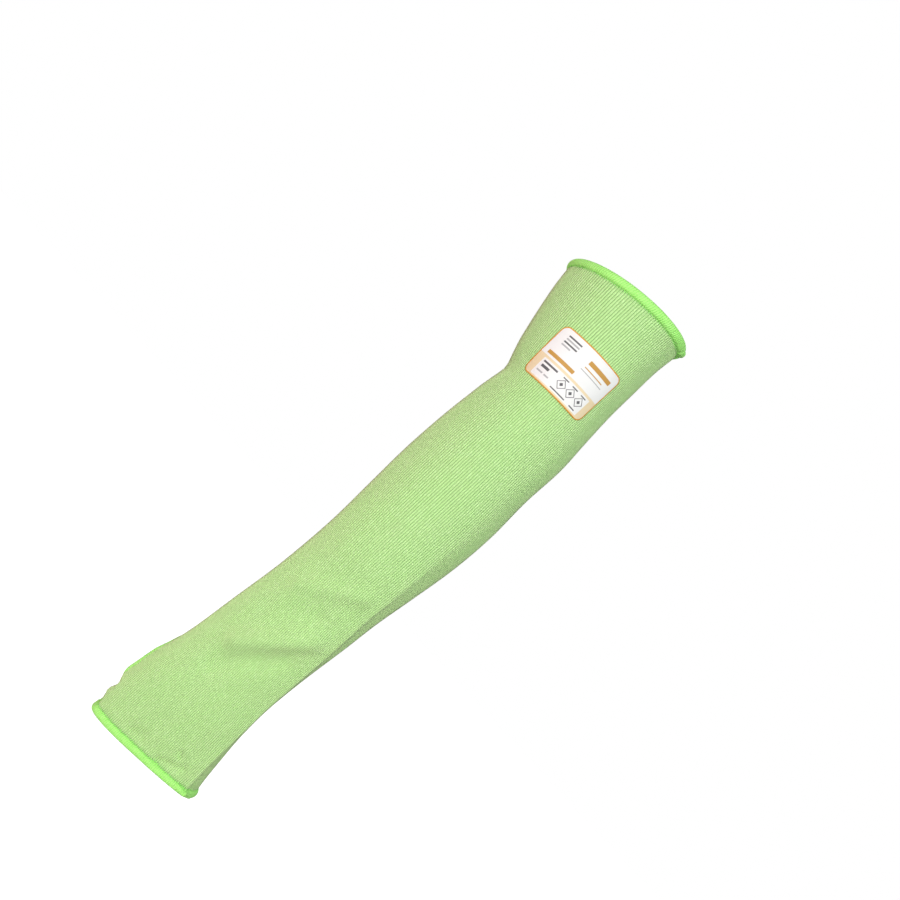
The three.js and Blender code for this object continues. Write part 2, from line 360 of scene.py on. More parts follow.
def makeCamera():
    data = bpy.data.cameras.new("camera")
    data.sensor_width = 36
    data.lens = 36 / 2 * view["distance"] / view["halfFrame"]
    camera = bpy.data.objects.new("camera", data)
    bpy.context.scene.collection.objects.link(camera)
    roll = math.radians(view["roll"])
    right = Vector((math.cos(roll), 0, math.sin(roll)))
    up = Vector((-math.sin(roll), 0, math.cos(roll)))
    back = right.cross(up)
    camera.matrix_world = Matrix.LocRotScale(
        Vector((view["middleX"], -view["distance"], view["middleZ"])),
        Matrix((right, up, back)).transposed().to_quaternion(),
        None,
    )
    bpy.context.scene.camera = camera


# lamps, placed from the middle of the solids' box, and the room round them
lamps = {
    "key": {"at": (0.06, -1.85, 1.00), "size": 0.6, "watts": 24.5, "colour": (1.0, 0.99, 0.97)},
    "side": {"at": (-0.42, -0.80, 0.06), "size": 0.3, "watts": 3.05, "colour": (1.0, 0.955, 0.98)},
    "low": {"at": (-0.06, -0.58, -0.38), "size": 0.2, "watts": 0.88, "colour": (1.0, 0.93, 0.80)},
    "fill": {"at": (0.55, -0.45, 0.40), "size": 0.4, "watts": 1.45, "colour": (0.86, 1.0, 1.0)},
    "edge": {"at": (-1.10, 0.10, -0.10), "size": 0.9, "watts": 2.8, "colour": (1.0, 0.36, 0.40)},
    "back": {"at": (0.3, 1.3, 0.35), "size": 1.2, "watts": 8, "colour": (1.0, 1.0, 1.0)},
}
studio = {
    "ambient": (0.05, 0.045, 0.05),
    "floorDrop": 300 * mm,
    "floorReach": 3.0,
    "floorColour": (0.5, 0.5, 0.5, 1),
    "floorGlow": 1.0,
}


def makeStage():
    scene = bpy.context.scene
    scene.view_settings.view_transform = "Standard"
    low, high = cadBox
    middle = (low + high) / 2
    for name, spec in lamps.items():
        data = bpy.data.lights.new(name, "AREA")
        data.shape = "DISK"
        data.size = spec["size"]
        data.energy = spec["watts"]
        data.color = spec["colour"]
        lamp = bpy.data.objects.new(name, data)
        scene.collection.objects.link(lamp)
        lamp.location = middle + Vector(spec["at"])
        lamp.rotation_euler = (middle - lamp.location).to_track_quat("-Z", "Y").to_euler()
    world = bpy.data.worlds.new("studio")
    scene.world = world
    world.use_nodes = True
    tree = world.node_tree
    tree.nodes.clear()
    seen = addNode(tree, "ShaderNodeBackground", {"Color": (1, 1, 1, 1), "Strength": 1.0})
    lit = addNode(tree, "ShaderNodeBackground", {"Color": (*studio["ambient"], 1), "Strength": 1.0})
    path = tree.nodes.new("ShaderNodeLightPath")
    both = addNode(tree, "ShaderNodeMixShader", {
        0: path.outputs["Is Camera Ray"], 1: lit.outputs[0], 2: seen.outputs[0]})
    addNode(tree, "ShaderNodeOutputWorld", {"Surface": both.outputs[0]})
    reach = studio["floorReach"]
    z = low.z - studio["floorDrop"]
    edges = [(-reach, -reach, z), (reach, -reach, z), (reach, reach, z), (-reach, reach, z)]
    floor = makePiece("floor", edges, [[0, 1, 2, 3]])
    paint = bpy.data.materials.new("floorPaint")
    paint.use_nodes = True
    shader = paint.node_tree.nodes["Principled BSDF"]
    shader.inputs["Base Color"].default_value = studio["floorColour"]
    shader.inputs["Roughness"].default_value = 0.9
    shader.inputs["Specular IOR Level"].default_value = 0.1
    shader.inputs["Emission Color"].default_value = (1, 1, 1, 1)
    seen = paint.node_tree.nodes.new("ShaderNodeLightPath")
    glow = maths(paint.node_tree, "MULTIPLY", seen.outputs["Is Camera Ray"], studio["floorGlow"])
    paint.node_tree.links.new(glow, shader.inputs["Emission Strength"])
    floor.data.materials.append(paint)


makeCamera()
makeStage()
print("camera, light and floor are in place")


# noise over the wales and courses, stretched by a scale for each way
def clothNoise(tree, start, scale, **settings):
    sizes = {0: start.outputs["Cloth"], 1: scale}
    place = addNode(tree, "ShaderNodeVectorMath", sizes, operation="MULTIPLY").outputs[0]
    return addNode(tree, "ShaderNodeTexNoise", {"Vector": place, "Scale": 1.0, **settings}).outputs[0]


# a value taken smoothly from one range to another
def eased(tree, value, fromLow, fromHigh, toLow, toHigh):
    inputs = {0: value, 1: fromLow, 2: fromHigh, 3: toLow, 4: toHigh}
    return addNode(tree, "ShaderNodeMapRange", inputs, interpolation_type="SMOOTHSTEP").outputs[0]


# a wave of rounded ridges with sharp valleys, one for each whole number
def ridgesOf(tree, value):
    return maths(tree, "ABSOLUTE", maths(tree, "SINE", maths(tree, "MULTIPLY", value, math.pi)))


# a chance value that changes at each whole number
def chanceOf(tree, *values):
    floors = {k: maths(tree, "FLOOR", value) for k, value in enumerate(values)}
    cell = addNode(tree, "ShaderNodeCombineXYZ", floors).outputs[0]
    return addNode(tree, "ShaderNodeTexWhiteNoise", {"Vector": cell}, noise_dimensions="2D").outputs[0]


def linkAll(tree, node, values):
    for name, value in values.items():
        tree.links.new(value, node.inputs[name])


# how the yarn lies in the knit: height, gaps, flecks and clouds at a wale and a course
def knitGroup():
    tree, start, end = newTree(
        "knitStitches", "ShaderNodeTree",
        [("Cloth", "NodeSocketVector", None), ("Stretch", "NodeSocketFloat", 1.0),
         ("Outer", "NodeSocketFloat", 1.0), ("Leg Slant", "NodeSocketFloat", 1.5)],
        [("Height", "NodeSocketFloat"), ("Gap", "NodeSocketFloat"), ("Fleck", "NodeSocketFloat"),
         ("Cloud", "NodeSocketFloat"), ("Fibre", "NodeSocketFloat")])
    wale, course, _ = addNode(tree, "ShaderNodeSeparateXYZ", {0: start.outputs["Cloth"]}).outputs
    across = maths(tree, "SUBTRACT", maths(tree, "FRACT", wale), 0.5)
    aside = maths(tree, "ABSOLUTE", across)
    lifted = maths(tree, "SUBTRACT", course, maths(tree, "MULTIPLY", aside, start.outputs["Leg Slant"]))
    leg = maths(tree, "SUBTRACT", maths(tree, "FRACT", lifted), 0.5)
    legSquared = maths(tree, "POWER", maths(tree, "ABSOLUTE", leg), 2.0)
    legCrown = maths(tree, "SUBTRACT", 1.0, maths(tree, "MULTIPLY", legSquared, 4.0))
    waleCrown = maths(tree, "SUBTRACT", 1.0, maths(tree, "MULTIPLY", maths(tree, "POWER", aside, 2.0), 3.2))
    groove = eased(tree, aside, 0.0, 0.11, 0.35, 0.0)
    face = maths(tree, "SUBTRACT", maths(tree, "MULTIPLY", legCrown, waleCrown), groove)
    back = maths(tree, "MULTIPLY", maths(tree, "SINE", maths(tree, "MULTIPLY", course, 2 * math.pi)), 0.5)
    height = addNode(tree, "ShaderNodeMix", {0: start.outputs["Outer"], 2: back, 3: face}).outputs[0]
    melange = clothNoise(tree, start, (1.3, 0.45, 1.0), Detail=3.0, Roughness=0.7)
    single = maths(tree, "MULTIPLY", chanceOf(tree, wale, lifted), 0.4)
    fleck = maths(tree, "ADD", single, maths(tree, "MULTIPLY", melange, 0.6))
    cloud = clothNoise(tree, start, (0.11, 0.035, 1.0), Detail=3.0)
    fibre = clothNoise(tree, start, (9.0, 5.0, 1.0), Detail=2.0, Distortion=1.2)
    gap = maths(tree, "MULTIPLY", eased(tree, aside, 0.27, 0.5, 0.0, 1.0), start.outputs["Stretch"])
    linkAll(tree, end, {"Height": height, "Gap": gap, "Fleck": fleck, "Cloud": cloud, "Fibre": fibre})
    return tree


# wound threads: ridges that lie at a slant round a hem, and their fine fibres
def threadGroup():
    tree, start, end = newTree(
        "woundThreads", "ShaderNodeTree",
        [("Cloth", "NodeSocketVector", None), ("Slant", "NodeSocketFloat", 2.0),
         ("Strands", "NodeSocketFloat", 3.0)],
        [("Ridge", "NodeSocketFloat"), ("Strand", "NodeSocketFloat"), ("Shade", "NodeSocketFloat")])
    along, turn, _ = addNode(tree, "ShaderNodeSeparateXYZ", {0: start.outputs["Cloth"]}).outputs
    lie = maths(tree, "ADD", along, maths(tree, "MULTIPLY", turn, start.outputs["Slant"]))
    ridge = ridgesOf(tree, lie)
    strand = ridgesOf(tree, maths(tree, "MULTIPLY", lie, start.outputs["Strands"]))
    linkAll(tree, end, {"Ridge": ridge, "Strand": strand, "Shade": chanceOf(tree, lie)})
    return tree


# one printed box, with round corners and a soft edge, at a place on the label in millimetres
def printGroup():
    tree, start, end = newTree(
        "printedBox", "ShaderNodeTree",
        [("Point", "NodeSocketVector", None), ("Centre", "NodeSocketVector", None),
         ("Half Size", "NodeSocketVector", None), ("Corner", "NodeSocketFloat", 0.2),
         ("Turn", "NodeSocketFloat", 0.0)],
        [("Mask", "NodeSocketFloat")])

    def vectorMaths(operation, *values):
        return addNode(tree, "ShaderNodeVectorMath", dict(enumerate(values)), operation=operation).outputs[0]

    moved = vectorMaths("SUBTRACT", start.outputs["Point"], start.outputs["Centre"])
    spin = {"Vector": moved, "Angle": start.outputs["Turn"]}
    aligned = addNode(tree, "ShaderNodeVectorRotate", spin, rotation_type="Z_AXIS").outputs[0]
    past = vectorMaths("SUBTRACT", vectorMaths("ABSOLUTE", aligned), start.outputs["Half Size"])
    pastX, pastY, _ = addNode(tree, "ShaderNodeSeparateXYZ", {0: past}).outputs
    pastX = maths(tree, "ADD", pastX, start.outputs["Corner"])
    pastY = maths(tree, "ADD", pastY, start.outputs["Corner"])
    outX = maths(tree, "POWER", maths(tree, "MAXIMUM", pastX, 0.0), 2.0)
    outY = maths(tree, "POWER", maths(tree, "MAXIMUM", pastY, 0.0), 2.0)
    far = maths(tree, "SQRT", maths(tree, "ADD", outX, outY))
    near = maths(tree, "MINIMUM", maths(tree, "MAXIMUM", pastX, pastY), 0.0)
    away = maths(tree, "SUBTRACT", maths(tree, "ADD", far, near), start.outputs["Corner"])
    mask = addNode(tree, "ShaderNodeMapRange", {0: away, 1: -0.06, 2: 0.06, 3: 1.0, 4: 0.0}).outputs[0]
    linkAll(tree, end, {"Mask": mask})
    return tree


knitStitches, woundThreads, printedBox = knitGroup(), threadGroup(), printGroup()


def newMaterial(name, values):
    paint = bpy.data.materials.new(name)
    paint.use_nodes = True
    tree = paint.node_tree
    shader = tree.nodes["Principled BSDF"]
    for key, value in values.items():
        shader.inputs[key].default_value = value
    return paint, tree, shader


def blendColours(tree, share, first, second, way="MIX"):
    node = addNode(tree, "ShaderNodeMix", {0: share}, data_type="RGBA", blend_type=way)
    for socket, value in ((node.inputs[6], first), (node.inputs[7], second)):
        if isinstance(value, bpy.types.NodeSocket):
            tree.links.new(value, socket)
        else:
            socket.default_value = (*value, 1.0)
    return node.outputs[2]


def ranged(tree, value, low, high, fromLow=0.0, toHigh=1.0):
    return addNode(tree, "ShaderNodeMapRange", {0: value, 1: low, 2: high, 3: fromLow, 4: toHigh}).outputs[0]


knitLooks = {
    "lime": (0.54, 0.86, 0.34),
    "beige": (0.64, 0.72, 0.42),
    "pale": (0.72, 1.0, 0.50),
    "shadow": (0.085, 0.23, 0.06),
    "beigeShare": 0.14,
    "paleShare": 0.55,
    "cloudShare": 0.12,
    "fibreShade": 0.14,
    "fibreRise": 0.30,
    "gapShade": 0.80,
    # painted shade just under the hems' edges
    "hemShadowShare": 0.55,
    "bumpDistance": 0.00045,
    "bumpStrength": 0.6,
}


def knitMaterial():
    paint, tree, shader = newMaterial("limeMelangeKnit", {
        "Roughness": 0.88, "Specular IOR Level": 0.15, "Sheen Weight": 0.40,
        "Sheen Roughness": 0.42, "Sheen Tint": (0.93, 0.78, 0.66, 1.0)})
    cloth = addNode(tree, "ShaderNodeUVMap", uv_map="cloth").outputs[0]
    stretch = addNode(tree, "ShaderNodeAttribute", attribute_name="stretch").outputs["Fac"]
    outer = addNode(tree, "ShaderNodeAttribute", attribute_name="outer").outputs["Fac"]
    hemShadow = addNode(tree, "ShaderNodeAttribute", attribute_name="hemShadow").outputs["Fac"]
    yarn = addNode(tree, "ShaderNodeGroup", node_tree=knitStitches)
    linkAll(tree, yarn, {"Cloth": cloth, "Stretch": stretch, "Outer": outer})
    height, gap, fleck, cloud, fibre = yarn.outputs
    body = knitLooks["lime"]
    for share, tint in (
            (ranged(tree, fleck, 0.45, 0.75, 0.0, knitLooks["beigeShare"]), "beige"),
            (ranged(tree, fleck, 0.5, 0.25, 0.0, knitLooks["paleShare"]), "pale"),
            (ranged(tree, cloud, 0.35, 0.7, 0.0, knitLooks["cloudShare"]), "beige"),
            (ranged(tree, fibre, 0.35, 0.75, 0.0, knitLooks["fibreShade"]), "shadow"),
            # painted shade in the gaps between the wales, more where they stand apart
            (maths(tree, "MULTIPLY", gap, knitLooks["gapShade"]), "shadow"),
            # painted shade just under the hems' edges
            (maths(tree, "MULTIPLY", hemShadow, knitLooks["hemShadowShare"]), "shadow")):
        body = blendColours(tree, share, body, knitLooks[tint])
    tree.links.new(body, shader.inputs["Base Color"])
    raised = maths(tree, "ADD", height, maths(tree, "MULTIPLY", fibre, knitLooks["fibreRise"]))
    bump = addNode(tree, "ShaderNodeBump", {
        "Strength": knitLooks["bumpStrength"], "Distance": knitLooks["bumpDistance"], "Height": raised})
    tree.links.new(bump.outputs[0], shader.inputs["Normal"])
    return paint


threadLooks = {
    "bright": (0.42, 0.93, 0.215),
    # the colour painted into the valleys between the windings and between their strands, as shade
    "threadValleyShade": (0.28, 0.80, 0.145),
    "pale": (0.52, 1.0, 0.30),
    "bumpDistance": 0.0003,
    "bumpStrength": 0.6,
}


def threadMaterial():
    paint, tree, shader = newMaterial("limeOverlockThread", {
        "Roughness": 0.72, "Specular IOR Level": 0.3, "Sheen Weight": 0.12,
        "Sheen Roughness": 0.35, "Sheen Tint": (0.9, 1.0, 0.8, 1.0)})
    cloth = addNode(tree, "ShaderNodeUVMap", uv_map="cloth").outputs[0]
    wound = addNode(tree, "ShaderNodeGroup", node_tree=woundThreads)
    tree.links.new(cloth, wound.inputs["Cloth"])
    ridge, strand, shade = wound.outputs
    # painted shade: darker in the valleys between the windings and between their strands
    colour = blendColours(tree, ranged(tree, ridge, 0.0, 0.65), threadLooks["threadValleyShade"], threadLooks["bright"])
    colour = blendColours(tree, ranged(tree, shade, 0.4, 1.0, 0.0, 0.35), colour, threadLooks["pale"])
    colour = blendColours(tree, ranged(tree, strand, 0.0, 0.4, 0.18, 0.0), colour, threadLooks["threadValleyShade"])
    tree.links.new(colour, shader.inputs["Base Color"])
    raised = maths(tree, "ADD", ridge, maths(tree, "MULTIPLY", strand, 0.35))
    bump = addNode(tree, "ShaderNodeBump", {
        "Strength": threadLooks["bumpStrength"], "Distance": threadLooks["bumpDistance"], "Height": raised})
    tree.links.new(bump.outputs[0], shader.inputs["Normal"])
    return paint


# the print on the label, in millimetres from its middle: plain bars and diamonds only
printLooks = {
    "white": (0.82, 0.82, 0.815),
    "tan": (0.78, 0.64, 0.41),
    "orange": (0.68, 0.31, 0.03),
    "gold": (0.53, 0.28, 0.05),
    "grey": (0.10, 0.10, 0.11),
    "soft": (0.42, 0.42, 0.43),
    "border": 0.85,
}
# colour, centre across, centre up, half width, half height, corner radius, turned in degrees
printRows = [
    ("tan", 0.0, -11.6, 27.95, 8.4, 0.1, 0),
    ("white", 0.3, -11.5, 21.4, 6.6, 0.3, 0),
    ("grey", -14.6, 15.2, 5.6, 0.55, 0.2, 0),
    ("soft", -14.6, 12.9, 5.6, 0.55, 0.2, 0),
    ("grey", -14.6, 10.6, 5.6, 0.55, 0.2, 0),
    ("soft", -16.4, 8.3, 3.8, 0.55, 0.2, 0),
    ("gold", 12.2, 11.8, 10.4, 1.5, 0.4, 0),
    ("gold", 10.2, 7.6, 8.4, 0.35, 0.2, 0),
    ("soft", 10.6, 5.1, 10.0, 0.3, 0.15, 0),
    ("gold", -11.5, -0.4, 11.4, 1.3, 0.35, 0),
    ("grey", -13.4, -7.0, 6.2, 0.65, 0.2, 0),
    ("grey", -15.4, -10.0, 3.4, 0.95, 0.3, 0),
    ("soft", -16.6, -13.9, 2.6, 0.55, 0.2, 0),
    ("soft", -10.6, -13.9, 2.0, 0.55, 0.2, 0),
    ("grey", 2.6, -16.6, 6.4, 0.4, 0.15, 0),
    ("grey", 16.2, -16.6, 2.6, 0.4, 0.15, 0),
]
diamonds = {
    "across": (0.2, 8.4, 16.6),
    "up": -10.9,
    "outer": 2.75,
    "inner": 2.3,
    "dot": 1.0,
    "barUp": -6.5,
    "bar": 2.4,
}
for place in diamonds["across"]:
    printRows += [
        ("grey", place, diamonds["up"], diamonds["outer"], diamonds["outer"], 0.3, 45),
        ("white", place, diamonds["up"], diamonds["inner"], diamonds["inner"], 0.2, 45),
        ("grey", place, diamonds["up"], diamonds["dot"], diamonds["dot"], 0.1, 45),
        ("grey", place, diamonds["barUp"], diamonds["bar"], 0.4, 0.15, 0),
    ]


def labelMaterial():
    paint, tree, shader = newMaterial("printedFilm", {"Roughness": 0.5, "Specular IOR Level": 0.35})
    point = addNode(tree, "ShaderNodeUVMap", uv_map="cloth").outputs[0]

    def printed(centreX, centreY, halfX, halfY, corner, turn):
        box = addNode(tree, "ShaderNodeGroup", node_tree=printedBox)
        tree.links.new(point, box.inputs["Point"])
        box.inputs["Centre"].default_value = (centreX, centreY, 0)
        box.inputs["Half Size"].default_value = (halfX, halfY, 0)
        box.inputs["Corner"].default_value = corner
        box.inputs["Turn"].default_value = math.radians(turn)
        return box.outputs[0]

    halfX, halfY = label["width"] / 2 / mm, label["height"] / 2 / mm
    corner, border = label["cornerRadius"] / mm, printLooks["border"]
    colour = printLooks["white"]
    inner = printed(0, 0, halfX - border, halfY - border, corner - border, 0)
    for name, *spec in printRows:
        colour = blendColours(tree, printed(*spec), colour, printLooks[name])
    colour = blendColours(tree, inner, printLooks["orange"], colour)
    worn = addNode(tree, "ShaderNodeTexNoise", {"Vector": point, "Scale": 2.2, "Detail": 3.0}).outputs[0]
    colour = blendColours(tree, ranged(tree, worn, 0.45, 0.8, 0.0, 0.06), colour, printLooks["tan"])
    tree.links.new(colour, shader.inputs["Base Color"])
    tree.links.new(ranged(tree, worn, 0.3, 0.7, 0.42, 0.58), shader.inputs["Roughness"])
    bump = addNode(tree, "ShaderNodeBump", {"Strength": 0.25, "Distance": 0.0001, "Height": worn})
    tree.links.new(bump.outputs[0], shader.inputs["Normal"])
    return paint


knitPaint = knitMaterial()
hemPaint = threadMaterial()
labelPaint = labelMaterial()
print("materials are made")


# a value that is stored on the mesh's points or corners
def namedValue(tree, name, kind="FLOAT_VECTOR"):
    return addNode(tree, "GeometryNodeInputNamedAttribute", {"Name": name}, data_type=kind).outputs[0]


# a soft unevenness over the surface, as a height
def unevenLift(tree, start, scale):
    place = tree.nodes.new("GeometryNodeInputPosition").outputs[0]
    noise = addNode(tree, "ShaderNodeTexNoise", {"Vector": place, "Scale": scale, "Detail": 2.0}).outputs[0]
    return maths(tree, "MULTIPLY", maths(tree, "SUBTRACT", noise, 0.5), start.outputs["Unevenness"])


# the geometry with every point moved out along its normal
def movedOut(tree, start, lift):
    normal = tree.nodes.new("GeometryNodeInputNormal").outputs[0]
    move = addNode(tree, "ShaderNodeVectorMath", {0: normal, "Scale": lift}, operation="SCALE").outputs[0]
    return addNode(tree, "GeometryNodeSetPosition", {"Geometry": start.outputs[0], "Offset": move}).outputs[0]


# the end of each tree: real meshes with their material
def closeTree(tree, start, end, geometry, smooth=False):
    real = addNode(tree, "GeometryNodeRealizeInstances", {0: geometry}).outputs[0]
    if smooth:
        real = addNode(tree, "GeometryNodeSetShadeSmooth", {0: real}).outputs[0]
    inputs = {"Geometry": real, "Material": start.outputs["Material"]}
    tree.links.new(addNode(tree, "GeometryNodeSetMaterial", inputs).outputs[0], end.inputs[0])


# ribs on the knitted tube: each wale stands up along the cloth, with a little unevenness
def ribTree():
    tree, start, end = newTree(
        "knitRibs", "GeometryNodeTree",
        [("Geometry", "NodeSocketGeometry", None), ("Rib Depth", "NodeSocketFloat", 0.0002),
         ("Unevenness", "NodeSocketFloat", 0.0001), ("Material", "NodeSocketMaterial", None)],
        [("Geometry", "NodeSocketGeometry")])
    outer = namedValue(tree, "outer", "FLOAT")
    wale = addNode(tree, "ShaderNodeSeparateXYZ", {0: namedValue(tree, "cloth")}).outputs[0]
    wave = maths(tree, "COSINE", maths(tree, "MULTIPLY", wale, 2 * math.pi))
    rib = maths(tree, "MULTIPLY", maths(tree, "MULTIPLY", wave, -1.0), start.outputs["Rib Depth"])
    lift = maths(tree, "MULTIPLY", maths(tree, "ADD", rib, unevenLift(tree, start, 95.0)), outer)
    closeTree(tree, start, end, movedOut(tree, start, lift))
    return tree


holeAt = 1 - thumbHole["fromHandEnd"] / sleeve["length"]


# a place round the thumb hole, widened from its edge, at a share of the way out from its middle
def thumbHolePlace(turn, widen, share, out):
    along = (thumbHole["length"] / 2 + widen) * share * np.cos(turn)
    across = (thumbHole["opening"] / 2 + widen) * share * np.sin(turn)
    at = holeAt + along / sleeve["length"]
    return clothPlace(at, angleAlong(at, math.radians(thumbHole["angle"]), across), out)


# the closed form that cuts the thumb hole out of the tube
def makeCutter():
    steps, reach = 96, 4 * mm
    widen = thumbHole["hemWidth"] * thumbHole["cutShare"]
    turn = np.arange(steps) / steps * 2 * math.pi
    shares = (0.2, 0.4, 0.6, 0.8, 1.0)
    loops = [thumbHolePlace(turn, widen, share, reach) for share in shares]
    loops += [thumbHolePlace(turn, widen, share, -reach) for share in reversed(shares)]
    middle = np.array([holeAt]), np.radians([thumbHole["angle"]])
    middles = [clothPlace(*middle, out)[0] for out in (reach, -reach)]
    places = [middles[0], *np.concatenate(loops), middles[1]]
    last = len(places) - 1
    faces = []
    for i in range(steps):
        j = (i + 1) % steps
        faces.append([0, 1 + i, 1 + j])
        faces.append([last, last - steps + j, last - steps + i])
        for k in range(len(loops) - 1):
            a, b = 1 + k * steps + i, 1 + k * steps + j
            faces.append([a, a + steps, b + steps, b])
    return makePiece("thumbHoleCutter", places, faces)


# rows down the tube, which runs on into the middle of each hem
def rowShares(rows):
    top = upperHem["height"] / 2 / sleeve["length"]
    low = 1 - handHem["height"] / 2 / sleeve["length"]
    share = np.arange(rows + 1) / rows
    return top + (low - top) * (share + sleeve["closerRows"] * share * (1 - share))


# how far the wales stand apart, from 0 where the tube is slack to 1 where it is widest
def stretchAt(at, columns):
    _, girth = angleRound(at, np.zeros(1))
    pitch = girth / sleeve["wales"]
    share = np.clip((pitch - sleeve["closePitch"]) / (sleeve["openPitch"] - sleeve["closePitch"]), 0, 1)
    return np.tile(sleeve["leastStretch"] + (1 - sleeve["leastStretch"]) * share, columns)


# how near the cloth is to a hem's stitches, from 0 to 1, which sets the painted shade just under each hem's
# edge
def hemShadowAt(at, columns):
    down = at * sleeve["length"]
    top = down - upperHem["height"]
    low = sleeve["length"] - handHem["height"] - down
    near = np.exp(-top / sleeve["hemShadowReach"]) + np.exp(-low / sleeve["hemShadowReach"])
    return np.tile(np.clip(near, 0, 1), columns)


def makeSleeve():
    wales, per = sleeve["wales"], sleeve["columnsPerWale"]
    columns = wales * per
    outerAt, innerAt = rowShares(sleeve["outerRows"]), rowShares(sleeve["innerRows"])
    outerAngles, _ = angleRound(outerAt, np.arange(columns) / columns)
    innerAngles, _ = angleRound(innerAt, np.arange(wales) / wales)
    outerPlaces = clothPlace(outerAt[:, None], outerAngles, 0)
    innerPlaces = clothPlace(innerAt[:, None], innerAngles, -sleeve["wall"])
    rowsOut, rowsIn = len(outerAt), len(innerAt)
    places = np.concatenate([grid.transpose(1, 0, 2).reshape(-1, 3) for grid in (outerPlaces, innerPlaces)])
    outerCourse, innerCourse = (at * sleeve["length"] / sleeve["courseLength"] for at in (outerAt, innerAt))
    faces, corners = ringGrid(columns, rowsOut, lambda a, b: (a / per, outerCourse[b]), closesN=False)
    inside = columns * rowsOut
    innerFaces, innerCorners = ringGrid(
        wales, rowsIn, lambda a, b: (a, innerCourse[b]), closesN=False, first=inside)
    faces += [face[::-1] for face in innerFaces]
    corners += [c for k in range(0, len(innerCorners), 4) for c in innerCorners[k:k + 4][::-1]]
    for k in range(wales):
        nextWale = (k + 1) % wales
        for rowOut, rowIn, flip in ((0, 0, False), (rowsOut - 1, rowsIn - 1, True)):
            rim = [((k * per + i) % columns) * rowsOut + rowOut for i in range(per + 1)]
            rim += [inside + nextWale * rowsIn + rowIn, inside + k * rowsIn + rowIn]
            uv = [(k + i / per, outerCourse[rowOut]) for i in range(per + 1)]
            uv += [(k + 1, outerCourse[rowOut]), (k, outerCourse[rowOut])]
            faces.append(rim[::-1] if flip else rim)
            corners += uv[::-1] if flip else uv
    piece = makePiece("knitted_sleeve", places, faces, corners)
    stretch = np.concatenate([stretchAt(outerAt, columns), stretchAt(innerAt, wales)])
    # the share of painted shade under the hems, on each point
    hemShadow = np.concatenate([hemShadowAt(outerAt, columns), hemShadowAt(innerAt, wales)])
    for title, values in (("outer", np.arange(len(places)) < inside), ("stretch", stretch), ("hemShadow", hemShadow)):
        layer = piece.data.attributes.new(title, "FLOAT", "POINT")
        layer.data.foreach_set("value", np.asarray(values, np.float32))
    grow(piece, ribTree(), {
        "Rib Depth": sleeve["ribDepth"], "Unevenness": sleeve["unevenness"], "Material": knitPaint})
    cutter = makeCutter()
    cut = piece.modifiers.new("hole", "BOOLEAN")
    cut.object = cutter
    cut.operation = "DIFFERENCE"
    cut.solver = "EXACT"
    applied(piece)
    bpy.data.objects.remove(cutter)
    piece.data.polygons.foreach_set("use_smooth", [True] * len(piece.data.polygons))
    return piece


# threads stand up round a hem: rounded ridges with sharp valleys between them
def windingTree():
    tree, start, end = newTree(
        "windings", "GeometryNodeTree",
        [("Geometry", "NodeSocketGeometry", None), ("Ridge", "NodeSocketFloat", 0.0002),
         ("Slant", "NodeSocketFloat", 2.0), ("Unevenness", "NodeSocketFloat", 0.0003),
         ("Material", "NodeSocketMaterial", None)],
        [("Geometry", "NodeSocketGeometry")])
    along, turn, _ = addNode(tree, "ShaderNodeSeparateXYZ", {0: namedValue(tree, "cloth")}).outputs
    lie = maths(tree, "ADD", along, maths(tree, "MULTIPLY", turn, start.outputs["Slant"]))
    ridge = maths(tree, "MULTIPLY", maths(tree, "SUBTRACT", ridgesOf(tree, lie), 0.6), start.outputs["Ridge"])
    lift = maths(tree, "ADD", ridge, unevenLift(tree, start, 120.0))
    closeTree(tree, start, end, movedOut(tree, start, lift))
    return tree


# small stitches on the points of a mesh, lying along its "lie" and standing on its "out"
def stitchTree():
    tree, start, end = newTree(
        "needleStitches", "GeometryNodeTree",
        [("Geometry", "NodeSocketGeometry", None), ("Length", "NodeSocketFloat", 0.002),
         ("Thickness", "NodeSocketFloat", 0.0004), ("Seed", "NodeSocketInt", 3),
         ("Material", "NodeSocketMaterial", None)],
        [("Geometry", "NodeSocketGeometry")])
    ball = addNode(tree, "GeometryNodeMeshUVSphere", {"Segments": 7, "Rings": 5, "Radius": 0.5})
    first = addNode(tree, "FunctionNodeAlignRotationToVector", {"Vector": namedValue(tree, "lie")}, axis="Z")
    both = addNode(tree, "FunctionNodeAlignRotationToVector", {
        "Rotation": first.outputs[0], "Vector": namedValue(tree, "out")}, axis="X", pivot_axis="Z")
    vary = addNode(tree, "FunctionNodeRandomValue", {
        2: 0.8, 3: 1.15, "Seed": start.outputs["Seed"]}, data_type="FLOAT")
    size = addNode(tree, "ShaderNodeCombineXYZ", {
        0: start.outputs["Thickness"], 1: start.outputs["Thickness"],
        2: maths(tree, "MULTIPLY", start.outputs["Length"], vary.outputs[1])})
    many = addNode(tree, "GeometryNodeInstanceOnPoints", {
        "Points": start.outputs[0], "Instance": ball.outputs[0],
        "Rotation": both.outputs[0], "Scale": size.outputs[0]})
    closeTree(tree, start, end, many.outputs[0], smooth=True)
    return tree


windings, needleStitches = windingTree(), stitchTree()
hemSides, columnsPerStitch = 24, 8


# a hem's skin from its loops: one row of places for each column along it
def hemMesh(name, rings, stitches, closed=True):
    columns, sides = rings.shape[0], rings.shape[1]
    pace = stitches / (columns if closed else columns - 1)
    faces, corners = ringGrid(columns, sides, lambda a, b: (a * pace, b / sides), closesM=closed)
    if not closed:
        for i, flip in ((0, False), (columns - 1, True)):
            cap = [i * sides + j for j in range(sides)]
            faces.append(cap if flip else cap[::-1])
            corners += [(i * pace, j / sides) for j in range(sides)]
    return makePiece(name, rings.reshape(-1, 3), faces, corners)


